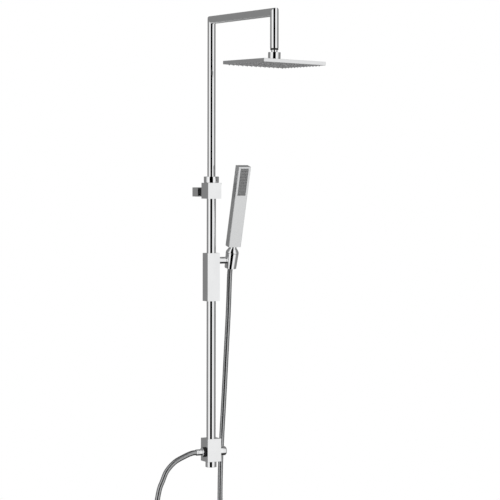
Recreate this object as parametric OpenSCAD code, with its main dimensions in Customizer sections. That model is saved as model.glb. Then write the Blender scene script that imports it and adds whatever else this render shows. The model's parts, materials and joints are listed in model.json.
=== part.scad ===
// Rainfall shower column: a fixed tube on one wall bracket, a telescopic riser with a square
// rain head, a sliding hand shower holder and a diverter block with one metal hose.
// Units are millimetres. The origin is the centre of the wall face of the bracket's foot.
// +Z is up, +Y points into the wall and the rain head reaches towards -Y.

/* [Column] */
// Distance from the wall to the column's axis
wall_gap = 89; // [80:1:110]
// Outer diameter of the fixed lower tube
lower_d = 25; // [24.5:0.1:25.5]
// Outer diameter of the riser tube, the arm and the drop tube
riser_d = 22; // [21.5:0.1:22.2]
// Wall thickness of the riser tube
riser_wall = 1; // [0.8:0.1:1.2]
// Height of the arm's axis over the wall bracket
arm_z = 467; // [400:1:560]
// Length of the arm, from the column's axis to the rain head's axis
arm_len = 350; // [300:1:400]
// Depth of the diverter block's top under the wall bracket
block_drop = 666.5; // [620:0.5:720]

/* [Wall bracket] */
// Width and depth of the bracket block
bracket_w = 40; // [39:0.5:44]
// Height of the bracket block
bracket_h = 43; // [42:0.5:46]
// Side of the square foot on the wall
foot_w = 25; // [24:0.5:30]
// Length of the square foot
foot_len = 33; // [30:1:40]
// Diameter of the locking collar
collar_d = 41; // [40:0.5:44]

/* [Rain head] */
// Side of the square rain head
head_w = 190; // [170:1:220]
// Thickness of the rain head
head_t = 9; // [8.5:0.5:11]
// Nozzles along one side of the rain head
nozzle_count = 13; // [9:1:13]
// Turn of the rain head on its ball joint, in degrees
head_turn = 5; // [-10:1:10]
// Sideways lean of the rain head on its ball joint, in degrees
head_lean = 1.5; // [0:0.5:3]

/* [Slider and holder] */
// Width of the slider
slider_w = 37; // [36:0.5:42]
// Depth of the slider
slider_d = 30; // [29.5:0.5:36]
// Height of the slider
slider_h = 130; // [110:1:150]
// Depth of the slider's top under the wall bracket
slider_drop = 164.5; // [150:0.5:200]
// Distance from the column's axis to the hand shower's axis
holder_x = 61.5; // [60:0.5:64]
// Forward lean of the hand shower, in degrees
lean = 15; // [10:1:20]

/* [Hand shower] */
// Width of the hand shower
handset_w = 37; // [34:0.5:40]
// Thickness of the hand shower
handset_t = 20; // [19:0.5:22]
// Length of the hand shower's body
handset_len = 226; // [200:1:240]

/* [Diverter] */
// Width and depth of the diverter block
diverter_w = 41; // [40:0.5:44]
// Height of the diverter block
diverter_h = 62; // [60:1:66]
// Diameter of the diverter knob
knob_d = 25; // [22:0.5:28]
// Diameter of the shower hose
hose_d = 14; // [13:0.5:14]

/* [Hidden] */
$fn = 96;

// Clearances: a running fit, a fixed fit, and the gap between faces of different bodies
run = 0.05;
fit = 0.05;
gap = 0.3;
// Small overlap that lets a cutter pass a face, and a hair's gap where the hose's faces meet
cut = 1;
hair = 0.05;

chrome = "#d9dde0";
brass = "#c9a54a";
rubber = "#2b2b2d";
plastic = "#e6e6e2";
dark = "#6d7073";

// Column
lower_r = lower_d / 2;
riser_r = riser_d / 2;
lower_bore_r = riser_r + gap;
riser_bore_r = riser_r - riser_wall;
bracket_top = bracket_h * 0.6;
bracket_bottom = bracket_top - bracket_h;
tube_top = bracket_top - 17;
socket_depth = 20;
block_top = -block_drop;
tube_bottom = block_top - socket_depth;

// Locking collar, the threaded neck under it and the collet inside
neck_r = 17;
neck_top = bracket_top + 10;
collet_bore_r = 14.5;
collet_top = neck_top + 1;
collar_bottom = bracket_top + gap;
collar_top = collar_bottom + 16.7;
collar_edge = 1.2;
slit_w = 1.2;

// Wall bracket
spindle_r = 12;
spindle_tail_r = 7;
spindle_tail = 11.5;
spindle_front = 6.5;
wall_thread_r = 3.4;
wall_thread_len = 16;
grub_r = 2.5;
hex_key = 2.5;

// Riser
guide_top = -147;
guide_len = 18;
guide_spigot = 12;

// Ball joint under the drop tube
ball_z = arm_z - 111;
ball_r = 12;
ball_channel_r = 4;
ball_neck_r = 8.2;
neck_end = 13.5;
washer_end = 18;
spigot_end = 30;
ring_r = ball_r + 1.2;
ring_bottom = -5;
ring_top = 6.5;
nut_r = 16.1;
nut_top = 7.6;
nut_bottom = -13.5;

// Rain head, in heights from the ball's centre
plate_top = -15.5;
plate_bottom = plate_top - head_t;
shell_wall = 3;
shell_top_t = 2.5;
face_t = 2;
mat_t = 1.5;
boss_r = 13.1;
boss_top = -12.6;
seat_top = -8.2;
nozzle_r = 2;
nozzle_tip_r = 1.4;
nozzle_out = 2.5;
nozzle_margin = 12;
nozzle_pitch = (head_w - 2 * nozzle_margin) / (nozzle_count - 1);

// Slider and holder
slider_top = -slider_drop;
slider_bore_r = lower_r + 1;
bush_len = 13;
stub_z = slider_top - 20.5;
stub_r = 9.25;
stub_end = 42.2;
washer_t = 0.8;
pin_r = 4;
pin_start = 27;
pad_r = 4;
spring_r = 3.6;
cup_top_r = 17.7;
cup_bottom_r = 16;
cup_half = 21.5;
cone_top_r = 13.4;
cone_bottom_r = 10.9;
cone_low = -14;
liner_t = 1.2;
hose_slot_w = 15.5;

// Hand shower, in heights along its own axis from the holder's pivot
handset_low = 39.4;
handset_high = handset_low + handset_len;
handset_edge = 1;
stem_r = 9.9;
stem_low = 14;
stem_high = 46;
dome_low = cup_half + gap;
dome_high = 33;
panel_w = 24.5;
panel_h = 76;
panel_margin = 4.5;
panel_deep = 2.4;
panel_mid = handset_high - panel_margin - panel_h / 2;
spray_cols = 6;
spray_rows = 17;
spray_pitch_x = 3.8;
spray_pitch_z = 4.3;
spray_r = 0.9;
spray_out = 0.7;

// Diverter block
valve_z = block_top - 36.5;
block_bottom = block_top - diverter_h;
side = diverter_w / 2;
valve_r = 8.5;
shaft_r = 4;
port_r = 9;
knob_start = side + 0.5;
knob_end = side + 23.5;
union_r = 15;
union_h = 16;
inlet_thread_r = 9.3;
outlet_nut_r = 13.3;
outlet_nut_len = 8.8;
ferrule_r = 8.5;
ferrule_end = side + 25.5;

// Hose: its middle line in the column's own frame, from the hand shower's ferrule down,
// through a hanging loop and up to the diverter's left outlet
hose_r = hose_d / 2;
hose_sides = 10;
hose_steps = 2;
hose_start = -16;
upper_route = [
    [61.5, 8, -215], [61.4, 10, -230], [61.2, 11.5, -255], [61, 13, -285], [60.8, 15, -315]
];
hose_join = [60.5, 17.5, -350];
lower_route = [
    [58, 21.5, -430], [56, 25, -500], [53, 28, -580], [50, 31, -655], [46.5, 33, -745],
    [44, 31, -840], [43, 28, -910], [42, 25, -970], [37, 22, -1030], [20, 20, -1082],
    [-15, 18, -1115], [-60, 16, -1127], [-105, 15, -1115], [-140, 14, -1082],
    [-158, 13, -1030], [-164, 12, -970], [-165, 11.5, -910], [-161, 11, -855],
    [-152, 9, -800], [-142, 8, -774], [-130, 6.5, -748], [-107, 4.5, -725], [-78, 2, -711],
    [-60, 0.5, -704.5]
];

function holder_point(s) = [holder_x, -s * sin(lean), stub_z + s * cos(lean)];

// A smooth line through the points, with a few steps between each two
function spline(a, b, c, d, t) =
    0.5 * (2 * b + (c - a) * t + (2 * a - 5 * b + 4 * c - d) * t * t
        + (3 * b - a - 3 * c + d) * t * t * t);
function through(p, n) = [
    for (i = [1 : len(p) - 3], k = [0 : n - 1]) spline(p[i - 1], p[i], p[i + 1], p[i + 2], k / n),
    p[len(p) - 2]
];
function unit(v) = v / norm(v);

// Rings round a line: each one square to it, kept from twisting by one fixed side
function heading(line, i) =
    unit(line[min(i + 1, len(line) - 1)] - line[max(i - 1, 0)]);
function ring(centre, along, r, n) =
    let (side_a = unit(cross(along, [0, 1, 0.05])), side_b = cross(along, side_a))
    [for (k = [0 : n - 1]) centre + r * (cos(360 * k / n) * side_a + sin(360 * k / n) * side_b)];

module swept_tube(line, first, last, r, n) {
    count = len(line);
    along = [
        for (i = [0 : count - 1]) i == 0 ? first : i == count - 1 ? last : heading(line, i)
    ];
    points = [for (i = [0 : count - 1]) each ring(line[i], along[i], r, n)];
    sides = [
        for (i = [0 : count - 2], k = [0 : n - 1])
            [i * n + k, i * n + (k + 1) % n, (i + 1) * n + (k + 1) % n, (i + 1) * n + k]
    ];
    polyhedron(
        points,
        concat([[for (k = [n - 1 : -1 : 0]) k]], sides, [[for (k = [0 : n - 1]) (count - 1) * n + k]])
    );
}

// Frames: the column's axis, the hand shower's axis and the rain head's ball joint
module at_column() {
    translate([0, -wall_gap, 0]) children();
}

module at_holder() {
    at_column() translate([holder_x, 0, stub_z]) rotate([lean, 0, 0]) children();
}

module at_ball() {
    at_column() translate([0, -arm_len, ball_z]) children();
}

module at_head() {
    at_ball() rotate([0, head_lean, head_turn]) children();
}

// A solid of revolution that runs along +X from x = 0
module along_x(from = 0) {
    translate([from, 0, 0]) rotate([0, 90, 0]) children();
}

// A solid of revolution that runs along -X from the plane x = -from
module along_minus_x(from = 0) {
    translate([-from, 0, 0]) rotate([0, -90, 0]) children();
}

module tube(outer_r, inner_r, low, high) {
    translate([0, 0, low]) difference() {
        cylinder(r = outer_r, h = high - low);
        translate([0, 0, -cut]) cylinder(r = inner_r, h = high - low + 2 * cut);
    }
}

module rod(r, low, high) {
    translate([0, 0, low]) cylinder(r = r, h = high - low);
}

module block(w, d, low, high) {
    translate([-w / 2, -d / 2, low]) cube([w, d, high - low]);
}

// A bar with slightly rounded upright edges
module rounded_bar(w, d, r, low, high) {
    translate([0, 0, low]) linear_extrude(high - low) union() {
        square([w - 2 * r, d], center = true);
        square([w, d - 2 * r], center = true);
        for (x = [-1, 1], y = [-1, 1]) translate([x * (w / 2 - r), y * (d / 2 - r)]) circle(r = r);
    }
}

// Wedge that cuts a tube at 45 degrees: everything above the line z = slope * y
module mitre_cutter(slope, reach) {
    rotate([90, 0, 90]) linear_extrude(4 * riser_r, center = true)
        polygon([[-reach, -slope * reach], [reach, slope * reach], [slope * -reach, reach]]);
}

module o_ring(middle_r, wire_r) {
    rotate_extrude() translate([middle_r, 0]) circle(r = wire_r, $fn = 32);
}

// A headless screw with a hexagon socket, from z = 0 up to its length
module grub_screw(r, length) {
    difference() {
        cylinder(r = r, h = length);
        translate([0, 0, -cut]) cylinder(d = hex_key, h = cut + length / 2, $fn = 6);
    }
}

// Wall bracket
module wall_base() {
    color(chrome) difference() {
        translate([-foot_w / 2, -foot_len, -foot_w / 2]) cube([foot_w, foot_len, foot_w]);
        translate([0, cut, 0]) rotate([90, 0, 0]) cylinder(r = wall_thread_r, h = wall_thread_len + cut);
        translate([0, -foot_len - cut, 0]) rotate([-90, 0, 0])
            cylinder(r = spindle_tail_r + fit, h = spindle_tail + fit + cut);
        translate([0, -foot_len + spindle_tail / 2, -foot_w / 2 - cut])
            cylinder(r = grub_r + fit, h = foot_w / 2 + cut);
    }
}

module wall_spindle() {
    back = -foot_len;
    front = -wall_gap + bracket_w / 2;
    color(chrome) union() {
        translate([0, front, 0]) rotate([-90, 0, 0]) cylinder(r = spindle_r, h = back - front);
        translate([0, front - spindle_front, 0]) rotate([-90, 0, 0])
            cylinder(r = spindle_tail_r, h = back - front + spindle_front + spindle_tail);
    }
}

module base_grub_screw() {
    color(dark) translate([0, -foot_len + spindle_tail / 2, -foot_w / 2 + 0.5])
        grub_screw(grub_r, foot_w / 2 - spindle_tail_r - 1);
}

module bracket_block() {
    color(chrome) at_column() difference() {
        union() {
            block(bracket_w, bracket_w, bracket_bottom, bracket_top);
            rod(neck_r, bracket_top - cut, neck_top);
        }
        rod(lower_r + fit, bracket_bottom - cut, tube_top);
        rod(collet_bore_r, tube_top, neck_top + cut);
        translate([0, bracket_w / 2 + cut, 0]) rotate([90, 0, 0])
            cylinder(r = spindle_tail_r + fit, h = spindle_front + fit + cut);
        translate([0, bracket_w / 2 - 3.5, bracket_bottom - cut])
            cylinder(r = grub_r + fit, h = -bracket_bottom);
    }
}

module bracket_grub_screw() {
    color(dark) at_column() translate([0, bracket_w / 2 - 3.5, bracket_bottom + 0.5])
        grub_screw(grub_r, -bracket_bottom - spindle_tail_r - 1);
}

// Column
module lower_tube() {
    color(chrome) at_column() tube(lower_r, lower_bore_r, tube_bottom, tube_top);
}

module collet() {
    low = tube_top + 0.2;
    color(plastic) at_column() difference() {
        union() {
            rod(collet_bore_r - fit, low, neck_top - 3);
            translate([0, 0, neck_top - 3])
                cylinder(r1 = collet_bore_r - fit, r2 = riser_r + 1.6, h = collet_top - neck_top + 3);
        }
        rod(riser_r + run, low - cut, collet_top + cut);
        for (turn = [0, 90]) rotate(turn)
            block(4 * neck_r, slit_w, low + 10, collet_top + cut);
    }
}

module locking_collar() {
    color(chrome) at_column() difference() {
        union() {
            translate([0, 0, collar_bottom])
                cylinder(r1 = collar_d / 2 - collar_edge, r2 = collar_d / 2, h = collar_edge);
            rod(collar_d / 2, collar_bottom + collar_edge, collar_top - collar_edge);
            translate([0, 0, collar_top - collar_edge])
                cylinder(r1 = collar_d / 2, r2 = collar_d / 2 - collar_edge, h = collar_edge);
        }
        rod(neck_r + 0.1, collar_bottom - cut, collet_top + 0.5);
        rod(riser_r + 0.4, collet_top, collar_top + cut);
    }
}

// Riser
module guide_bush() {
    low = guide_top - guide_len;
    groove = low + guide_len / 2;
    color(plastic) at_column() difference() {
        union() {
            rod(lower_bore_r - run, low, guide_top);
            rod(riser_bore_r - run, guide_top - cut, guide_top + guide_spigot);
        }
        rod(riser_bore_r - 3, low - cut, guide_top + guide_spigot + cut);
        tube(lower_bore_r + cut, lower_bore_r - 2, groove - 1.1, groove + 1.1);
    }
}

module guide_seal() {
    color(rubber) at_column() translate([0, 0, guide_top - guide_len / 2])
        o_ring(lower_bore_r - run - 0.9, 0.9);
}

module upper_tube() {
    color(chrome) at_column() difference() {
        tube(riser_r, riser_bore_r, guide_top + gap, arm_z + 2 * riser_r);
        translate([0, 0, arm_z]) mitre_cutter(1, 4 * riser_r);
    }
}

module arm_tube() {
    color(chrome) at_column() translate([0, 0, arm_z]) difference() {
        rotate([90, 0, 0]) tube(riser_r, riser_bore_r, -2 * riser_r, arm_len + 2 * riser_r);
        rotate([180, 0, 0]) mirror([0, 1, 0]) mitre_cutter(-1, 4 * riser_r);
        translate([0, -arm_len, 0]) rotate([180, 0, 0]) mirror([0, 1, 0]) mitre_cutter(1, 4 * riser_r);
    }
}

module drop_tube() {
    color(chrome) at_column() translate([0, -arm_len, 0]) difference() {
        tube(riser_r, riser_bore_r, ball_z + washer_end, arm_z + 2 * riser_r);
        translate([0, 0, arm_z]) mitre_cutter(-1, 4 * riser_r);
    }
}

module ball_stud() {
    color(chrome) at_ball() difference() {
        union() {
            sphere(r = ball_r);
            rod(ball_neck_r, 0, spigot_end - 14);
            rod(riser_bore_r - fit, neck_end, spigot_end);
        }
        rod(ball_channel_r, -ball_r - cut, spigot_end + cut);
    }
}

module stud_washer() {
    color(rubber) at_ball() tube(riser_r - 0.6, riser_bore_r, neck_end, washer_end);
}

module swivel_ring() {
    color(plastic) at_ball() difference() {
        sphere(r = ring_r);
        sphere(r = ball_r + run);
        rod(2 * ring_r, ring_top, 2 * ring_r);
        rod(2 * ring_r, -2 * ring_r, ring_bottom);
    }
}

// Rain head
module head_nut() {
    color(chrome) at_head() difference() {
        rod(nut_r, nut_bottom, nut_top);
        sphere(r = ring_r + run);
        rod(ring_r + run, nut_bottom - cut, 0);
    }
}

module ball_seat() {
    color(plastic) at_head() difference() {
        rod(boss_r, boss_top, seat_top);
        sphere(r = ball_r + gap);
        rod(ball_channel_r + 1, boss_top - cut, 0);
    }
}

module head_filter() {
    color(plastic) at_head() difference() {
        rod(5.9, boss_top - 2.4, boss_top - 0.4);
        for (turn = [0 : 45 : 315]) rotate(turn) translate([3.6, 0, boss_top - 2.4 - cut])
            cylinder(r = 0.8, h = 2 + 2 * cut);
    }
}

module head_shell() {
    inner = head_w - 2 * shell_wall;
    color(chrome) at_head() difference() {
        union() {
            block(head_w, head_w, plate_bottom, plate_top);
            rod(boss_r, plate_top - cut, boss_top);
        }
        block(inner, inner, plate_bottom - cut, plate_top - shell_top_t);
        rod(6, plate_bottom, boss_top + cut);
    }
}

module nozzle_grid() {
    last = (nozzle_count - 1) / 2;
    for (i = [-last : last], j = [-last : last]) translate([i * nozzle_pitch, j * nozzle_pitch]) children();
}

module head_face() {
    inner = head_w - 2 * shell_wall - 0.2;
    color(chrome) at_head() translate([0, 0, plate_bottom]) linear_extrude(face_t) difference() {
        square(inner, center = true);
        nozzle_grid() circle(r = nozzle_r + fit, $fn = 24);
    }
}

module nozzle_mat() {
    inner = head_w - 2 * shell_wall - 2;
    color(rubber) at_head() block(inner, inner, plate_bottom + face_t, plate_bottom + face_t + mat_t);
}

module rain_nozzles() {
    color(rubber) at_head() nozzle_grid() {
        rotate_extrude($fn = 24) polygon([
            [0, plate_bottom - nozzle_out], [nozzle_tip_r, plate_bottom - nozzle_out],
            [nozzle_r, plate_bottom - 0.5], [nozzle_r, plate_bottom + face_t], [0, plate_bottom + face_t]
        ]);
    }
}

// Slider and holder
module slider_body() {
    low = slider_top - slider_h;
    color(chrome) at_column() difference() {
        block(slider_w, slider_d, low, slider_top);
        rod(slider_bore_r, low - cut, slider_top + cut);
        translate([0, 0, stub_z]) along_x() cylinder(r = pad_r + run, h = slider_w);
    }
}

module slider_bushes() {
    low = slider_top - slider_h;
    color(plastic) at_column() {
        tube(slider_bore_r - fit, lower_r + run, low, low + bush_len);
        tube(slider_bore_r - fit, lower_r + run, slider_top - bush_len, slider_top);
    }
}

module brake_pad() {
    color(rubber) at_column() translate([0, 0, stub_z]) along_x() difference() {
        cylinder(r = pad_r, h = slider_w / 2 - 1.5);
        rotate([0, 90, 0]) cylinder(r = lower_r + run, h = 4 * pad_r, center = true);
        block(4 * pad_r, 4 * pad_r, -cut, lower_r - 2);
    }
}

module brake_spring() {
    start = slider_w / 2 - 1.5;
    color(dark) at_column() translate([0, 0, stub_z]) along_x(start)
        tube(spring_r, spring_r - 0.8, 0, 6.5);
}

module holder_stub() {
    start = slider_w / 2;
    color(chrome) at_column() translate([0, 0, stub_z]) along_x() difference() {
        rod(stub_r, start, stub_end);
        rod(pad_r + run, start - cut, start + 5);
        rod(pin_r + run, start + 7, stub_end + cut);
    }
}

module pivot_washer() {
    color(rubber) at_column() translate([0, 0, stub_z]) along_x()
        tube(stub_r - 0.4, pin_r + run, stub_end, stub_end + washer_t);
}

// Slot down the cup's outer side, wide enough for the hose
module hose_slot() {
    translate([0, -hose_slot_w / 2, -cup_half - cut]) cube([2 * cup_top_r, hose_slot_w, 2 * cup_half + 2 * cut]);
}

module holder_cup() {
    boss_start = stub_end + washer_t + gap;
    color(chrome) at_column() difference() {
        union() {
            translate([holder_x, 0, stub_z]) rotate([lean, 0, 0]) translate([0, 0, -cup_half])
                cylinder(r1 = cup_bottom_r, r2 = cup_top_r, h = 2 * cup_half);
            translate([0, 0, stub_z]) along_x() rod(stub_r, boss_start, holder_x - 10);
        }
        translate([holder_x, 0, stub_z]) rotate([lean, 0, 0]) {
            translate([0, 0, cone_low])
                cylinder(r1 = cone_bottom_r + gap + liner_t + fit, r2 = cone_top_r + gap + liner_t + fit,
                    h = cup_half - cone_low);
            rod(cone_top_r + gap + liner_t + fit, cup_half, cup_half + cut);
            rod(9.5, -cup_half - cut, cone_low);
            hose_slot();
        }
        translate([0, 0, stub_z]) along_x() rod(pin_r + fit, pin_start, boss_start + 2);
    }
}

module cup_liner() {
    color(plastic) at_holder() difference() {
        translate([0, 0, cone_low])
            cylinder(r1 = cone_bottom_r + gap + liner_t, r2 = cone_top_r + gap + liner_t,
                h = cup_half - cone_low);
        translate([0, 0, cone_low])
            cylinder(r1 = cone_bottom_r + gap, r2 = cone_top_r + gap, h = cup_half - cone_low);
        rod(cone_bottom_r + gap, cone_low - cut, cone_low);
        rod(cone_top_r + gap, cup_half, cup_half + cut);
        hose_slot();
    }
}

module pivot_pin() {
    boss_start = stub_end + washer_t + gap;
    color(dark) at_column() translate([0, 0, stub_z]) along_x() rod(pin_r, pin_start, boss_start + 2);
}

// Hand shower
module handset_body() {
    front = -handset_t / 2;
    color(chrome) at_holder() difference() {
        rounded_bar(handset_w, handset_t, handset_edge, handset_low, handset_high);
        block(handset_w - 7, handset_t - 7, handset_low + 8, handset_high - 3.5);
        translate([0, front, panel_mid]) cube([panel_w, 2 * panel_deep, panel_h], center = true);
        translate([0, front + 2, panel_mid]) cube([panel_w - 3, 6, panel_h - 3], center = true);
        rod(stem_r - 3, handset_low + 6, handset_low + 9);
        rod(stem_r + fit, handset_low - cut, stem_high);
    }
}

module spray_grid() {
    col = (spray_cols - 1) / 2;
    row = (spray_rows - 1) / 2;
    for (i = [-col : col], j = [-row : row]) translate([i * spray_pitch_x, j * spray_pitch_z]) children();
}

module handset_face() {
    color(dark) at_holder() translate([0, -handset_t / 2 + panel_deep, panel_mid]) rotate([90, 0, 0])
        linear_extrude(panel_deep - 0.5) difference() {
            square([panel_w - 0.2, panel_h - 0.2], center = true);
            spray_grid() circle(r = spray_r + fit, $fn = 24);
        }
}

module handset_nozzle_mat() {
    deep = -handset_t / 2 + panel_deep;
    color(rubber) at_holder() translate([0, deep + 0.5, panel_mid])
        cube([panel_w - 3.4, 1, panel_h - 3.4], center = true);
}

module handset_nozzles() {
    color(rubber) at_holder() translate([0, -handset_t / 2 + panel_deep, panel_mid]) rotate([90, 0, 0])
        spray_grid() cylinder(r = spray_r, h = panel_deep - 0.5 + spray_out, $fn = 24);
}

module handset_stem() {
    color(chrome) at_holder() tube(stem_r, stem_r - 3, stem_low, stem_high);
}

module stem_washer() {
    color(rubber) at_holder() tube(stem_r - 0.2, stem_r - 4, stem_low - 2, stem_low);
}

module cone_nut() {
    color(chrome) at_holder() difference() {
        union() {
            translate([0, 0, cone_low])
                cylinder(r1 = cone_bottom_r, r2 = cone_top_r, h = dome_low - cone_low);
            rotate_extrude() polygon([
                [0, dome_low], [cup_top_r - 0.4, dome_low], [cup_top_r - 0.2, dome_low + 1.5],
                [cup_top_r - 1.2, dome_low + 4], [cup_top_r - 3.6, dome_low + 7.5], [12, dome_high],
                [0, dome_high]
            ]);
        }
        rod(stem_r + fit, stem_low - 2, dome_high + cut);
        rod(hose_r + 2.3, cone_low - cut, stem_low - 1);
    }
}

module hose_ferrule() {
    color(chrome) at_holder() tube(hose_r + 2.2, hose_r - 3, hose_start, stem_low - 2);
}

// Diverter block
module diverter_body() {
    seal_z = block_top - socket_depth / 2;
    color(chrome) at_column() difference() {
        union() {
            block(diverter_w, diverter_w, block_bottom, block_top);
            rod(valve_r, block_bottom - 6, block_bottom + cut);
        }
        rod(lower_r + fit, tube_bottom, block_top + cut);
        tube(lower_r + 2, lower_r, seal_z - 1.5, seal_z + 1.5);
        rod(6, block_bottom - 6 - cut, tube_bottom + cut);
        translate([0, 0, valve_z]) {
            along_x() rod(valve_r, 0, side + cut);
            along_minus_x() rod(5, -cut, side);
            along_minus_x() rod(port_r, side - 9, side + cut);
        }
    }
}

module tube_seal() {
    color(rubber) at_column() translate([0, 0, block_top - socket_depth / 2]) o_ring(lower_r + 1, 0.95);
}

module diverter_gland() {
    color(brass) at_column() translate([0, 0, valve_z]) along_x()
        tube(valve_r - fit, shaft_r + run, side - 6.5, side);
}

module spindle_seal() {
    color(rubber) at_column() translate([0, 0, valve_z]) along_x(side - 7.6) o_ring(shaft_r + 1.05, 0.95);
}

module diverter_spindle() {
    color(brass) at_column() translate([0, 0, valve_z]) along_x() difference() {
        union() {
            rod(valve_r - run, 1, side - 9);
            rod(shaft_r, 1, knob_end - 10);
        }
        translate([0, 0, 6]) rotate([0, 90, 0]) cylinder(r = 3.2, h = 4 * valve_r, center = true);
    }
}

module diverter_knob() {
    r = knob_d / 2;
    length = knob_end - knob_start;
    color(chrome) at_column() translate([0, 0, valve_z]) along_x(knob_start) difference() {
        rotate_extrude() polygon([
            [0, 0], [r - 0.8, 0], [r, 0.8], [r, length - 3], [r - 0.8, length - 1.2],
            [r - 2.4, length - 0.3], [r - 4.5, length], [0, length]
        ]);
        rod(shaft_r + fit, -cut, length - 9.5);
        translate([0, 0, length / 2]) rotate([0, 90, 0]) cylinder(r = 2 + fit, h = 2 * r);
    }
}

module knob_grub_screw() {
    middle = (knob_start + knob_end) / 2;
    color(dark) at_column() translate([middle, 0, valve_z - knob_d / 2 + 0.8])
        grub_screw(2, knob_d / 2 - shaft_r - 1);
}

module inlet_union() {
    top = block_bottom - 0.2;
    color(chrome) at_column() difference() {
        rod(union_r, block_bottom - union_h, top);
        rod(valve_r + fit, block_bottom - 6.2, top + cut);
        rod(inlet_thread_r, block_bottom - union_h - cut, block_bottom - 6.2);
        rod(inlet_thread_r + 0.3, block_bottom - 7.9, block_bottom - 6.2);
    }
}

module inlet_washer() {
    color(rubber) at_column() tube(inlet_thread_r + 0.2, 6, block_bottom - 7.7, block_bottom - 6.2);
}

module outlet_nipple() {
    color(brass) at_column() translate([0, 0, valve_z]) along_minus_x() difference() {
        union() {
            rod(port_r - fit, side - 8.8, side);
            rod(outlet_nut_r - 3.1, side + 0.2, side + 5);
            rod(port_r - fit, side - 1, side + 1);
        }
        rod(5, side - 10, side + 6);
    }
}

module outlet_washer() {
    color(rubber) at_column() translate([0, 0, valve_z]) along_minus_x()
        tube(outlet_nut_r - 3.2, 5, side + 5, side + 6.5);
}

module hose_nut() {
    color(chrome) at_column() translate([0, 0, valve_z]) along_minus_x(side) difference() {
        rotate_extrude() polygon([
            [0, 0.3], [outlet_nut_r - 0.5, 0.3], [outlet_nut_r, 0.9], [outlet_nut_r, 3.2],
            [outlet_nut_r - 1, 5.4], [outlet_nut_r - 2.8, 7.6], [outlet_nut_r - 4.3, outlet_nut_len],
            [0, outlet_nut_len]
        ]);
        rod(outlet_nut_r - 3, 0, 6.6);
        rod(6.5, 0, outlet_nut_len + cut);
    }
}

module outlet_ferrule() {
    color(chrome) at_column() translate([0, 0, valve_z]) along_minus_x() difference() {
        union() {
            rod(6.4, side + 6.6, side + outlet_nut_len + 1);
            rod(ferrule_r, side + outlet_nut_len + 0.1, ferrule_end);
        }
        rod(4, side + 6, ferrule_end + cut);
    }
}

// Hose
module hose_upper() {
    down = [0, sin(lean), -cos(lean)];
    start = holder_point(hose_start);
    route = concat([start - 10 * down, start], upper_route, [hose_join, lower_route[0]]);
    line = through(route, hose_steps);
    color(dark) at_column()
        swept_tube(line, down, unit(lower_route[0] - upper_route[len(upper_route) - 1]), hose_r, hose_sides);
}

module hose_lower() {
    finish = [-ferrule_end, 0, valve_z];
    route = concat(
        [upper_route[len(upper_route) - 1], hose_join - [0, 0, hair]], lower_route,
        [finish - [hair, 0, 0], finish + [20, 0, 0]]
    );
    line = through(route, hose_steps);
    color(dark) at_column()
        swept_tube(line, unit(lower_route[0] - upper_route[len(upper_route) - 1]), [1, 0, 0], hose_r,
            hose_sides);
}

wall_base();
wall_spindle();
base_grub_screw();
bracket_block();
bracket_grub_screw();
lower_tube();
collet();
locking_collar();
guide_bush();
guide_seal();
upper_tube();
arm_tube();
drop_tube();
ball_stud();
stud_washer();
swivel_ring();
head_nut();
ball_seat();
head_filter();
head_shell();
head_face();
nozzle_mat();
rain_nozzles();
slider_body();
slider_bushes();
brake_pad();
brake_spring();
holder_stub();
pivot_washer();
holder_cup();
cup_liner();
pivot_pin();
handset_body();
handset_face();
handset_nozzle_mat();
handset_nozzles();
handset_stem();
stem_washer();
cone_nut();
hose_ferrule();
diverter_body();
tube_seal();
diverter_gland();
spindle_seal();
diverter_spindle();
diverter_knob();
knob_grub_screw();
inlet_union();
inlet_washer();
outlet_nipple();
outlet_washer();
hose_nut();
outlet_ferrule();
hose_upper();
hose_lower();
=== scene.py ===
"""Rainfall shower column: chrome tubes, blocks, rain head, hand shower and a spiral steel hose.

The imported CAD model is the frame. Everything here is in metres, in the frame's own axes:
+Z up, +Y into the wall, the rain head reaching towards -Y.
"""

import json
import math

import bmesh
import bpy
import numpy as np
from mathutils import Matrix, Vector


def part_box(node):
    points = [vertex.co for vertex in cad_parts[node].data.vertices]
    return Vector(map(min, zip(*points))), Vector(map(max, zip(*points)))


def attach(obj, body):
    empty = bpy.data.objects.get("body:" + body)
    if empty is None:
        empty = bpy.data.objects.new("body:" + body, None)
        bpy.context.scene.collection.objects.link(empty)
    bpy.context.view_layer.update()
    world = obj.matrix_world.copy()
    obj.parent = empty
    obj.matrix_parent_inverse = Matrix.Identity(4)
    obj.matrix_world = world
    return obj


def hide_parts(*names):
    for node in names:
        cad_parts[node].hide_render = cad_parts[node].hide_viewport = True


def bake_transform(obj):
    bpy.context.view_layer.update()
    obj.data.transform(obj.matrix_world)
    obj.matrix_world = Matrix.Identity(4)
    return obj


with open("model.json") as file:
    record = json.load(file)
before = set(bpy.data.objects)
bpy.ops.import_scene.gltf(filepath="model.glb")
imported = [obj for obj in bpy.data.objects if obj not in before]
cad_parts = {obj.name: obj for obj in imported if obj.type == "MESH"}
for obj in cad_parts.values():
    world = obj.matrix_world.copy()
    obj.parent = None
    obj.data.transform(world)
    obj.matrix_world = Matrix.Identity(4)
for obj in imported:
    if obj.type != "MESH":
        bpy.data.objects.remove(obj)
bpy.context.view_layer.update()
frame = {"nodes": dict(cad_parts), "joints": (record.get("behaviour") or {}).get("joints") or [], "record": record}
nodes = frame["nodes"]

# ---------------------------------------------------------------------------------------------
# Places, read from the frame
# ---------------------------------------------------------------------------------------------


def box_of(name):
    low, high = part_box(name)
    return Vector(low), Vector(high)


def middle_of(name):
    low, high = box_of(name)
    return (low + high) / 2


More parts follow.
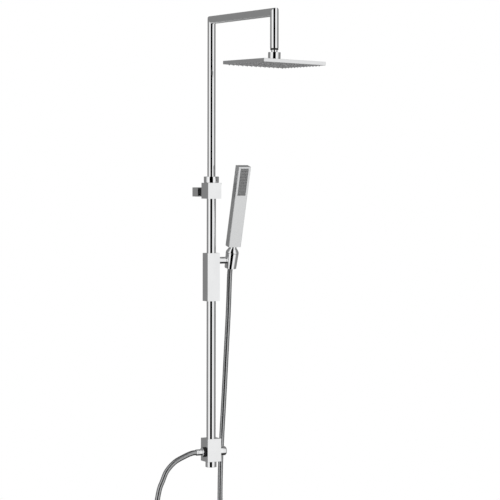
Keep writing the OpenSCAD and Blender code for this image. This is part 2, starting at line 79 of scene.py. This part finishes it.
COLUMN = Vector((0.0, middle_of("lower_tube").y, 0.0))
JOINTS = {joint["name"]: joint for joint in frame["joints"]}
PIVOT_Z = JOINTS["holder_tilt"]["pos_m"][2]
HOLDER_AXIS = Vector(JOINTS["handset_lift"]["axis"]).normalized()
HOLDER = Vector((middle_of("hose_ferrule").x, COLUMN.y, PIVOT_Z))
VALVE = Vector((0.0, COLUMN.y, middle_of("diverter_knob").z))

# ---------------------------------------------------------------------------------------------
# Camera: level, to the front left, through a long lens
# ---------------------------------------------------------------------------------------------

CAMERA_PLACE = (-2.622, -5.150, 0.081)
CAMERA_TURN = 28.44
CAMERA_ROLL = 0.08
CAMERA_SHIFT = -0.175
LENS = 151.3
SENSOR = 36.0
FARTHEST = 50.0


def add_camera():
    data = bpy.data.cameras.new("camera")
    data.lens = LENS
    data.sensor_width = SENSOR
    data.clip_end = FARTHEST
    data.shift_y = CAMERA_SHIFT
    data.dof.use_dof = False
    camera = bpy.data.objects.new("camera", data)
    bpy.context.scene.collection.objects.link(camera)
    camera.location = CAMERA_PLACE
    turn = Matrix.Rotation(math.radians(-CAMERA_TURN), 4, "Z")
    tip = Matrix.Rotation(math.radians(90), 4, "X")
    roll = Matrix.Rotation(math.radians(CAMERA_ROLL), 4, "Z")
    camera.rotation_euler = (turn @ tip @ roll).to_euler()
    bpy.context.scene.camera = camera
    return camera


add_camera()

# ---------------------------------------------------------------------------------------------
# Mesh helpers
# ---------------------------------------------------------------------------------------------


def new_piece(name, verts, faces, smooth=True):
    mesh = bpy.data.meshes.new(name)
    mesh.from_pydata([tuple(v) for v in verts], [], faces)
    mesh.validate()
    mesh.update()
    if smooth:
        mesh.polygons.foreach_set("use_smooth", [True] * len(mesh.polygons))
    piece = bpy.data.objects.new(name, mesh)
    bpy.context.scene.collection.objects.link(piece)
    return piece


def sharpen(piece, degrees):
    """Smooth faces, with an edge kept sharp where its faces meet at more than this angle."""
    mesh = piece.data
    mesh.polygons.foreach_set("use_smooth", [True] * len(mesh.polygons))
    work = bmesh.new()
    work.from_mesh(mesh)
    for edge in work.edges:
        if len(edge.link_faces) == 2:
            edge.smooth = edge.calc_face_angle(0.0) < math.radians(degrees)
    work.to_mesh(mesh)
    work.free()


def finish_piece(piece, body, material, replaced=()):
    piece.data.materials.clear()
    piece.data.materials.append(material)
    if replaced:
        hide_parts(*replaced)
    if body:
        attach(piece, body)
    return piece


# ---------------------------------------------------------------------------------------------
# Hose: the same route as the CAD solids, in metres from the column's axis
# ---------------------------------------------------------------------------------------------

HOSE_D = 0.014
HOSE_START = -0.016
HOSE_PITCH = 0.0031
HOSE_CROWN = 0.00012
HOSE_GROOVE = 0.0006
HOSE_SIDES = 24
HOSE_RINGS_A_TURN = 8
HOSE_CURVE_STEPS = 40
HOSE_LEAD = 0.010
OUTLET_LEAD = 0.020
FERRULE_END = Vector((box_of("outlet_ferrule")[0].x, 0.0, VALVE.z))
ROUTE_MM = [
    (61.5, 8, -215), (61.4, 10, -230), (61.2, 11.5, -255), (61, 13, -285), (60.8, 15, -315),
    (60.5, 17.5, -350),
    (58, 21.5, -430), (56, 25, -500), (53, 28, -580), (50, 31, -655), (46.5, 33, -745),
    (44, 31, -840), (43, 28, -910), (42, 25, -970), (37, 22, -1030), (20, 20, -1082),
    (-15, 18, -1115), (-60, 16, -1127), (-105, 15, -1115), (-140, 14, -1082),
    (-158, 13, -1030), (-164, 12, -970), (-165, 11.5, -910), (-161, 11, -855),
    (-152, 9, -800), (-142, 8, -774), (-130, 6.5, -748), (-107, 4.5, -725), (-78, 2, -711),
    (-60, 0.5, -704.5),
]


def catmull(a, b, c, d, t):
    return 0.5 * (
        2 * b + (c - a) * t + (2 * a - 5 * b + 4 * c - d) * t * t
        + (3 * b - a - 3 * c + d) * t * t * t
    )


def hose_line():
    """The hose's middle line as close points, from the hand shower's ferrule to the outlet."""
    start = HOLDER - COLUMN + HOSE_START * HOLDER_AXIS
    route = [start + HOSE_LEAD * HOLDER_AXIS, start]
    route += [Vector(p) / 1000 for p in ROUTE_MM]
    route += [FERRULE_END, FERRULE_END + Vector((OUTLET_LEAD, 0, 0))]
    points = []
    for i in range(1, len(route) - 2):
        for k in range(HOSE_CURVE_STEPS):
            share = k / HOSE_CURVE_STEPS
            points.append(catmull(route[i - 1], route[i], route[i + 1], route[i + 2], share))
    points.append(route[-2])
    return np.array([p + COLUMN for p in points])


def resample(line, step):
    lengths = np.linalg.norm(np.diff(line, axis=0), axis=1)
    along = np.concatenate([[0.0], np.cumsum(lengths)])
    count = max(2, int(round(along[-1] / step)) + 1)
    at = np.linspace(0.0, along[-1], count)
    return at, np.stack([np.interp(at, along, line[:, k]) for k in range(3)], axis=1)


def hose_profile(turn):
    """Radius of the strip-wound hose over one turn: a wide, nearly flat band and a narrow groove."""
    across = np.abs((turn % 1.0) - 0.5) * 2
    return HOSE_D / 2 - HOSE_CROWN * across ** 2 - HOSE_GROOVE * across ** 12


def hose_mesh(name, line, from_s):
    at, points = resample(line, HOSE_PITCH / HOSE_RINGS_A_TURN)
    tangent = np.gradient(points, axis=0)
    tangent /= np.linalg.norm(tangent, axis=1)[:, None]
    side = np.cross(tangent, (0.0, 1.0, 0.05))
    side /= np.linalg.norm(side, axis=1)[:, None]
    other = np.cross(tangent, side)
    angle = np.arange(HOSE_SIDES) / HOSE_SIDES * 2 * np.pi
    turn = (at[:, None] + from_s) / HOSE_PITCH + angle[None, :] / (2 * np.pi)
    radius = hose_profile(turn)[:, :, None]
    rings = points[:, None, :] + radius * (
        np.cos(angle)[None, :, None] * side[:, None, :]
        + np.sin(angle)[None, :, None] * other[:, None, :]
    )
    verts = rings.reshape(-1, 3)
    faces = []
    for i in range(len(at) - 1):
        for k in range(HOSE_SIDES):
            n = (k + 1) % HOSE_SIDES
            faces.append((i * HOSE_SIDES + k, i * HOSE_SIDES + n,
                          (i + 1) * HOSE_SIDES + n, (i + 1) * HOSE_SIDES + k))
    faces.append(tuple(range(HOSE_SIDES - 1, -1, -1)))
    last = (len(at) - 1) * HOSE_SIDES
    faces.append(tuple(last + k for k in range(HOSE_SIDES)))
    return new_piece(name, verts, faces), points, at[-1]


HOSE_LEVELS = (-0.292, -0.440, -0.970)


def split_line(line):
    """Cuts the line where it first falls through each level, and where it comes back up past the last."""
    cuts = [0]
    for level in HOSE_LEVELS:
        cuts.append(next(i for i in range(cuts[-1], len(line)) if line[i][2] < level))
    lowest = int(np.argmin(line[:, 2]))
    cuts.append(next(i for i in range(lowest, len(line)) if line[i][2] > HOSE_LEVELS[-1]))
    cuts.append(len(line) - 1)
    return [line[cuts[i]:cuts[i + 1] + 1] for i in range(len(cuts) - 1)]


def hose_pieces(names):
    """The hose in pieces end to end: each one's object, points and length."""
    pieces, so_far = [], 0.0
    for name, part in zip(names, split_line(hose_line())):
        piece, points, length = hose_mesh(name, part, so_far)
        pieces.append((piece, points, length))
        so_far += length
    return pieces


HOSE = hose_pieces(("hose_top", "hose_mid", "hose_main", "hose_loop", "hose_tail"))
hose_top, hose_mid, hose_main, hose_loop, hose_tail = (piece for piece, points, length in HOSE)

# ---------------------------------------------------------------------------------------------
# Materials
# ---------------------------------------------------------------------------------------------


def new_material(name):
    material = bpy.data.materials.new(name)
    material.use_nodes = True
    tree = material.node_tree
    return material, tree, tree.nodes["Principled BSDF"]


def noise(tree, scale, detail=3.0, stretch=(1, 1, 1)):
    place = tree.nodes.new("ShaderNodeTexCoord")
    mapping = tree.nodes.new("ShaderNodeMapping")
    mapping.inputs["Scale"].default_value = stretch
    texture = tree.nodes.new("ShaderNodeTexNoise")
    texture.inputs["Scale"].default_value = scale
    texture.inputs["Detail"].default_value = detail
    tree.links.new(place.outputs["Object"], mapping.inputs["Vector"])
    tree.links.new(mapping.outputs["Vector"], texture.inputs["Vector"])
    return texture.outputs["Fac"]


def spread(tree, value, low, high):
    node = tree.nodes.new("ShaderNodeMapRange")
    node.inputs["From Min"].default_value = 0.3
    node.inputs["From Max"].default_value = 0.7
    node.inputs["To Min"].default_value = low
    node.inputs["To Max"].default_value = high
    tree.links.new(value, node.inputs["Value"])
    return node.outputs["Result"]


def bump(tree, shader, value, strength, distance):
    node = tree.nodes.new("ShaderNodeBump")
    node.inputs["Strength"].default_value = strength
    node.inputs["Distance"].default_value = distance
    tree.links.new(value, node.inputs["Height"])
    tree.links.new(node.outputs["Normal"], shader.inputs["Normal"])


def ramp(tree, value, stops):
    """Colours along a ramp; the stops run from low to high."""
    node = tree.nodes.new("ShaderNodeValToRGB")
    elements = node.color_ramp.elements
    elements[1].position, elements[0].position = stops[-1][0], stops[0][0]
    elements[1].color, elements[0].color = (*stops[-1][1], 1.0), (*stops[0][1], 1.0)
    for position, colour in stops[1:-1]:
        elements.new(position).color = (*colour, 1.0)
    tree.links.new(value, node.inputs["Fac"])
    return node.outputs["Color"]


def metal(name, low, high, rough_low, rough_high, scale, grain=0.0, stretch=(1, 1, 1)):
    material, tree, shader = new_material(name)
    shader.inputs["Metallic"].default_value = 1.0
    mottling = noise(tree, scale, 4.0, stretch)
    tree.links.new(ramp(tree, mottling, [(0.3, low), (0.7, high)]), shader.inputs["Base Color"])
    tree.links.new(spread(tree, mottling, rough_low, rough_high), shader.inputs["Roughness"])
    if grain:
        bump(tree, shader, noise(tree, scale * 9, 2.0, stretch), grain, 0.0002)
    return material


def soft(name, low, high, rough_low, rough_high, scale, grain):
    material, tree, shader = new_material(name)
    mottling = noise(tree, scale, 4.0)
    tree.links.new(ramp(tree, mottling, [(0.35, low), (0.65, high)]), shader.inputs["Base Color"])
    tree.links.new(spread(tree, mottling, rough_low, rough_high), shader.inputs["Roughness"])
    bump(tree, shader, noise(tree, scale * 6, 2.0), grain, 0.0003)
    return material


CHROME = metal("polished_chrome", (0.88, 0.885, 0.89), (0.92, 0.925, 0.93), 0.02, 0.04, 30)
SATIN = metal("satin_chrome", (0.76, 0.765, 0.77), (0.84, 0.845, 0.85), 0.24, 0.32, 900, 0.02)
# Chrome with a near-black base colour: painted shade standing in for the dark reflection of the block's unlit back
# face and the wall
PAINTED_SHADE_CHROME = metal("chrome_painted_shade", (0.03, 0.031, 0.032), (0.06, 0.061, 0.063), 0.12, 0.2, 60)
HOSE_STEEL = metal("hose_steel", (0.38, 0.385, 0.39), (0.50, 0.505, 0.51), 0.05, 0.10, 200, 0.02)
BRASS = metal("machined_brass", (0.70, 0.51, 0.22), (0.82, 0.64, 0.32), 0.22, 0.35, 90, 0.1)
STEEL = metal("machined_steel", (0.42, 0.43, 0.45), (0.56, 0.57, 0.59), 0.25, 0.4, 120, 0.1)
RUBBER = soft("black_rubber", (0.018, 0.018, 0.019), (0.032, 0.032, 0.034), 0.5, 0.68, 160, 0.3)
NOZZLE = soft("nozzle_rubber", (0.66, 0.66, 0.665), (0.76, 0.76, 0.765), 0.42, 0.6, 260, 0.2)
SPRAY = soft("spray_rubber", (0.05, 0.05, 0.052), (0.08, 0.08, 0.083), 0.42, 0.6, 260, 0.2)
PANEL = soft("spray_panel", (0.50, 0.505, 0.51), (0.58, 0.585, 0.59), 0.3, 0.42, 260, 0.15)
WHITE = soft("white_plastic", (0.72, 0.72, 0.69), (0.80, 0.80, 0.77), 0.35, 0.5, 70, 0.1)
GREY = soft("grey_plastic", (0.30, 0.305, 0.31), (0.36, 0.365, 0.37), 0.22, 0.34, 110, 0.1)

SLOT_MATERIALS = {
    "polished_chrome": CHROME,
    "chromed_plastic": SATIN,
    "brass": BRASS,
    "steel": STEEL,
    "rubber": RUBBER,
    "white_plastic": WHITE,
    "grey_plastic": GREY,
    "steel_hose": HOSE_STEEL,
}
for entry in frame["record"]["subparts"]:
    mesh = nodes[entry["node"]].data
    mesh.materials.clear()
    mesh.materials.append(SLOT_MATERIALS[entry["material_slot"]])
nodes["rain_nozzles"].data.materials[0] = NOZZLE
nodes["handset_nozzles"].data.materials[0] = SPRAY
nodes["handset_face"].data.materials[0] = PANEL
nodes["handset_stem"].data.materials[0] = CHROME
# Wall spindle: painted shade, the dark reflection it shows painted into its colour
nodes["wall_spindle"].data.materials[0] = PAINTED_SHADE_CHROME

# ---------------------------------------------------------------------------------------------
# The hose's pieces, running from the hand shower at the top to the outlet at its end
# ---------------------------------------------------------------------------------------------

for piece, points, length in HOSE:
    finish_piece(piece, None, HOSE_STEEL)
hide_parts("hose_upper")
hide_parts("hose_lower")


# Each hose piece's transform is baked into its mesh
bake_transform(hose_top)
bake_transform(hose_mid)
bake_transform(hose_main)
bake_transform(hose_loop)
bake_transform(hose_tail)

# ---------------------------------------------------------------------------------------------
# Round chrome parts, turned fine enough to mirror cleanly
# ---------------------------------------------------------------------------------------------

TURN_SIDES = 144
SHARP_TURN = 25.0
MERGE = 1e-7
MERGE_CAD = 1e-6
BODY_OF = {n: b for b, members in frame["record"]["behaviour"]["bodies"].items() for n in members}
SLOT_OF = {entry["node"]: entry["material_slot"] for entry in frame["record"]["subparts"]}


def turned(name, node, profile, matrix, material=None, end_shift=None):
    """A closed outline of (radius, height) in mm, turned about the matrix's own Z; it stands for a node.

    end_shift(point, height, x, y) gives a point's new height, in mm, to cut a mitre.
    """
    verts, faces = [], []
    count = len(profile)
    for i in range(TURN_SIDES):
        angle = 2 * math.pi * i / TURN_SIDES
        for index, (radius, height) in enumerate(profile):
            x, y = radius * math.cos(angle), radius * math.sin(angle)
            if end_shift:
                height = end_shift(index, height, x, y)
            verts.append(matrix @ (Vector((x, y, height)) / 1000))
    for i in range(TURN_SIDES):
        j = (i + 1) % TURN_SIDES
        for k in range(count):
            m = (k + 1) % count
            faces.append((i * count + k, j * count + k, j * count + m, i * count + m))
    piece = new_piece(name, verts, faces)
    work = bmesh.new()
    work.from_mesh(piece.data)
    bmesh.ops.remove_doubles(work, verts=work.verts, dist=MERGE)
    bmesh.ops.recalc_face_normals(work, faces=work.faces)
    work.to_mesh(piece.data)
    work.free()
    sharpen(piece, SHARP_TURN)
    slot = SLOT_OF[node]
    return finish_piece(piece, BODY_OF[node], material or SLOT_MATERIALS[slot], [node])


def frame_at(place, along=(0, 0, 1)):
    turn = Vector((0, 0, 1)).rotation_difference(Vector(along))
    return Matrix.Translation(place) @ turn.to_matrix().to_4x4()


UP = frame_at(COLUMN)
tube_low, tube_high = box_of("lower_tube")
LOWER_R = (tube_high.x - tube_low.x) * 500
LOWER_BORE_R = 11.3
LOWER_START = tube_low.z * 1000
LOWER_END = tube_high.z * 1000
turned("lower_tube_turned", "lower_tube", [
    (LOWER_R, LOWER_START), (LOWER_R, LOWER_END), (LOWER_BORE_R, LOWER_END), (LOWER_BORE_R, LOWER_START),
], UP)

RISER_R = 11.0
RISER_BORE_R = 10.0
MITRE_EASE = 0.35
upper_low = box_of("upper_tube")[0].z * 1000
ARM_Z = middle_of("arm_tube").z * 1000
DROP = Vector((0.0, middle_of("drop_tube").y, 0.0))
ARM_LEN = (COLUMN.y - DROP.y) * 1000
drop_low = box_of("drop_tube")[0].z * 1000


def tube_outline(low_z, high_z):
    """Tube wall with its outer rims eased, lower rim first."""
    ease = MITRE_EASE
    return [
        (RISER_R - ease, low_z), (RISER_R, low_z + ease), (RISER_R, high_z - ease),
        (RISER_R - ease, high_z), (RISER_BORE_R, high_z), (RISER_BORE_R, low_z),
    ]


TOP_RIM = (2, 3, 4)
LOW_RIM = (0, 1, 5)


def mitre(top=0, low=0):
    """Tilts the top or low rim by 45 degrees about the tube's own X."""
    def shift(index, height, x, y):
        if index in TOP_RIM:
            return height + top * y
        return height + low * y if index in LOW_RIM else height
    return shift


turned("upper_tube_turned", "upper_tube", tube_outline(upper_low, ARM_Z), UP,
       end_shift=mitre(top=1))
turned("drop_tube_turned", "drop_tube", tube_outline(drop_low, ARM_Z), frame_at(DROP),
       end_shift=mitre(top=-1))
ARM_TURN = Matrix.Rotation(math.radians(90), 4, "X")
ARM_FRAME = Matrix.Translation(COLUMN + Vector((0, 0, ARM_Z / 1000))) @ ARM_TURN
turned("arm_tube_turned", "arm_tube", tube_outline(0.0, ARM_LEN), ARM_FRAME,
       end_shift=mitre(top=1, low=-1))


def eased(outer, inner, start, end, ease=0.5):
    """A turned ring with its two outer edges eased."""
    return [
        (inner, start), (outer - ease, start), (outer - 0.3 * ease, start + 0.3 * ease),
        (outer, start + ease), (outer, end - ease), (outer - 0.3 * ease, end - 0.3 * ease),
        (outer - ease, end), (inner, end),
    ]


def turned_ring(node, bore_r, ease):
    """An upright ring the size of the node's box, with a bore and eased edges, in mm."""
    ring_low, ring_high = box_of(node)
    outer = (ring_high.x - ring_low.x) * 500
    turned(node + "_turned", node, eased(outer, bore_r, ring_low.z * 1000, ring_high.z * 1000, ease), UP)


COLLAR_BORE_R = RISER_R + 0.4
COLLAR_EASE = 1.2
INLET_BORE_R = 9.3
INLET_EASE = 0.8
turned_ring("locking_collar", COLLAR_BORE_R, COLLAR_EASE)
turned_ring("inlet_union", INLET_BORE_R, INLET_EASE)

KNOB_LEN = (box_of("diverter_knob")[1].x - box_of("diverter_knob")[0].x) * 1000
KNOB_R = (box_of("diverter_knob")[1].z - box_of("diverter_knob")[0].z) * 500
knob_place = Vector((box_of("diverter_knob")[0].x, COLUMN.y, VALVE.z))
turned("diverter_knob_turned", "diverter_knob", [
    (0, 0), (KNOB_R - 0.8, 0), (KNOB_R - 0.2, 0.2), (KNOB_R, 0.8), (KNOB_R, KNOB_LEN - 4),
    (KNOB_R - 0.35, KNOB_LEN - 2.4), (KNOB_R - 1.2, KNOB_LEN - 1.1), (KNOB_R - 2.6, KNOB_LEN - 0.35),
    (KNOB_R - 4.5, KNOB_LEN), (0, KNOB_LEN),
], frame_at(knob_place, (1, 0, 0)))

OUT = frame_at(VALVE, (-1, 0, 0))
NUT_R = (box_of("hose_nut")[1].z - box_of("hose_nut")[0].z) * 500
NUT_START = -box_of("hose_nut")[1].x * 1000
NUT_END = -box_of("hose_nut")[0].x * 1000
NUT_BORE_R = 10.4
NUT_LIP = 1.2
NUT_THROAT_R = 6.5
GRIP_LEN = 5.2
GRIP_END = NUT_START + GRIP_LEN
hose_grip = turned("hose_nut_grip", "hose_nut", eased(NUT_R, NUT_BORE_R, NUT_START, GRIP_END), OUT,
                   material=RUBBER)
hose_rim = turned("hose_nut_rim", "hose_nut", [
    (NUT_BORE_R, GRIP_END + 0.02), (NUT_R - 0.8, GRIP_END + 0.02), (NUT_R - 0.2, GRIP_END + 0.5),
    (NUT_R - 0.6, GRIP_END + 1.5), (NUT_R - 2.8, GRIP_END + 2.6), (NUT_R - 4.4, NUT_END),
    (NUT_THROAT_R, NUT_END), (NUT_THROAT_R, NUT_END - NUT_LIP), (NUT_BORE_R, NUT_END - NUT_LIP),
], OUT)
ferrule_low, ferrule_high = box_of("outlet_ferrule")
FERRULE_R = (ferrule_high.z - ferrule_low.z) * 500
FERRULE_TIP = -ferrule_low.x * 1000
FERRULE_BORE_R = 4
FERRULE_NECK_R = 6.4
CRIMP = 0.5
outlet_end = turned("outlet_ferrule_turned", "outlet_ferrule", [
    (FERRULE_BORE_R, NUT_END - 2), (FERRULE_NECK_R, NUT_END - 2), (FERRULE_NECK_R, NUT_END + 0.1),
    (FERRULE_R - CRIMP, NUT_END + 0.1), (FERRULE_R, NUT_END + 0.6), (FERRULE_R, FERRULE_TIP - 5.0),
    (FERRULE_R - CRIMP, FERRULE_TIP - 4.4), (FERRULE_R - CRIMP, FERRULE_TIP - 3.6),
    (FERRULE_R, FERRULE_TIP - 3.0), (FERRULE_R, FERRULE_TIP - 0.8), (FERRULE_R - 0.8, FERRULE_TIP),
    (FERRULE_BORE_R, FERRULE_TIP),
], OUT)

# ---------------------------------------------------------------------------------------------
# Chrome blocks with softened edges
# ---------------------------------------------------------------------------------------------


EDGE_SEGMENTS = 3
EDGE_ANGLE = 50.0
FLAT_ANGLE = 0.5


def softened(name, width):
    """A copy of a CAD node whose sharp edges are rounded; it stands for that node."""
    source = nodes[name]
    piece = bpy.data.objects.new(name + "_soft", source.data.copy())
    bpy.context.scene.collection.objects.link(piece)
    work = bmesh.new()
    work.from_mesh(piece.data)
    bmesh.ops.remove_doubles(work, verts=work.verts, dist=MERGE_CAD)
    bmesh.ops.dissolve_limit(
        work, angle_limit=math.radians(FLAT_ANGLE), verts=work.verts, edges=work.edges)
    work.to_mesh(piece.data)
    work.free()
    bevel = piece.modifiers.new("edges", "BEVEL")
    bevel.width = width
    bevel.segments = EDGE_SEGMENTS
    bevel.limit_method = "ANGLE"
    bevel.angle_limit = math.radians(EDGE_ANGLE)
    bevel.harden_normals = True
    bpy.context.view_layer.update()
    graph = bpy.context.evaluated_depsgraph_get()
    piece.data = bpy.data.meshes.new_from_object(piece.evaluated_get(graph))
    piece.modifiers.clear()
    slot = SLOT_OF[name]
    return finish_piece(piece, BODY_OF[name], SLOT_MATERIALS[slot], [name])


for name, width in (
    ("bracket_block", 0.0006), ("slider_body", 0.0006), ("diverter_body", 0.0006),
    ("wall_base", 0.0005), ("head_shell", 0.0005), ("handset_body", 0.0006),
):
    softened(name, width)

# ---------------------------------------------------------------------------------------------
# Floor, and a studio with a black card behind the camera, white beside it and grey beyond
# ---------------------------------------------------------------------------------------------

FLOOR_Z = -1.80
FLOOR_HALF = 1.3
FLOOR_ROUGH = 0.7
# Brightness seen in the chrome, by angle in degrees from straight behind the camera
WALLS = (
    (0, 0.0), (25, 0.0), (29, 1.0), (46, 1.0), (56, 0.90), (74, 0.80), (86, 0.24), (180, 0.24),
)
# Fades overhead and below, by the height of the direction looked in, from -1 to 1
CEILING_FROM, CEILING_TO, CEILING_LIGHT = 0.84, 0.96, 0.12
GROUND_FROM, GROUND_TO, GROUND_LIGHT = -0.80, -0.55, 0.08


def add_floor():
    half = FLOOR_HALF
    corners = [(x * half, y * half, FLOOR_Z) for x, y in ((-1, -1), (1, -1), (1, 1), (-1, 1))]
    floor = new_piece("floor", corners, [(0, 1, 2, 3)], smooth=False)
    material, tree, shader = new_material("floor_paint")
    paint = ramp(tree, noise(tree, 6.0), [(0.3, (0.80, 0.80, 0.80)), (0.7, (0.84, 0.84, 0.84))])
    tree.links.new(paint, shader.inputs["Base Color"])
    shader.inputs["Roughness"].default_value = FLOOR_ROUGH
    floor.data.materials.append(material)
    floor.visible_glossy = False


add_floor()


def calculated(tree, operation, *values):
    """A Math node's result; each value is a number or another node's output."""
    node = tree.nodes.new("ShaderNodeMath")
    node.operation = operation
    for socket, value in zip(node.inputs, values):
        if isinstance(value, float):
            socket.default_value = value
        else:
            tree.links.new(value, socket)
    return node.outputs["Value"]


def fade(tree, value, start, end, first, last):
    """A smooth step from one value, up to the start, to another, from the end on."""
    node = tree.nodes.new("ShaderNodeMapRange")
    node.interpolation_type = "SMOOTHSTEP"
    for socket, number in (("From Min", start), ("From Max", end), ("To Min", first), ("To Max", last)):
        node.inputs[socket].default_value = number
    tree.links.new(value, node.inputs["Value"])
    return node.outputs["Result"]


def add_room(tree):
    """What the object mirrors and is lit by."""
    place = tree.nodes.new("ShaderNodeTexCoord")
    spin = tree.nodes.new("ShaderNodeMapping")
    spin.vector_type = "POINT"
    spin.inputs["Rotation"].default_value = (0, 0, math.radians(CAMERA_TURN))
    tree.links.new(place.outputs["Generated"], spin.inputs["Vector"])
    split = tree.nodes.new("ShaderNodeSeparateXYZ")
    tree.links.new(spin.outputs["Vector"], split.inputs["Vector"])
    # The angle round from straight behind the camera, as a share of a half turn
    back = calculated(tree, "MULTIPLY", split.outputs["Y"], -1.0)
    turn = calculated(tree, "ARCTAN2", split.outputs["X"], back)
    share = calculated(tree, "DIVIDE", calculated(tree, "ABSOLUTE", turn), math.pi)
    above = fade(tree, split.outputs["Z"], CEILING_FROM, CEILING_TO, 1.0, CEILING_LIGHT)
    below = fade(tree, split.outputs["Z"], GROUND_FROM, GROUND_TO, GROUND_LIGHT, 1.0)
    room = tree.nodes.new("ShaderNodeBackground")
    stops = [(degrees / 180, (grey,) * 3) for degrees, grey in WALLS]
    tree.links.new(ramp(tree, share, stops), room.inputs["Color"])
    tree.links.new(calculated(tree, "MULTIPLY", above, below), room.inputs["Strength"])
    return room.outputs["Background"]


def add_world():
    """The room, with plain white paper where the camera looks straight at it."""
    world = bpy.data.worlds.new("studio")
    bpy.context.scene.world = world
    world.use_nodes = True
    tree = world.node_tree
    tree.nodes.clear()
    paper = tree.nodes.new("ShaderNodeBackground")
    paper.inputs["Color"].default_value = (1, 1, 1, 1)
    path = tree.nodes.new("ShaderNodeLightPath")
    mix = tree.nodes.new("ShaderNodeMixShader")
    tree.links.new(path.outputs["Is Camera Ray"], mix.inputs["Fac"])
    tree.links.new(add_room(tree), mix.inputs[1])
    tree.links.new(paper.outputs["Background"], mix.inputs[2])
    out = tree.nodes.new("ShaderNodeOutputWorld")
    tree.links.new(mix.outputs["Shader"], out.inputs["Surface"])


add_world()
bpy.context.scene.view_settings.view_transform = "Standard"
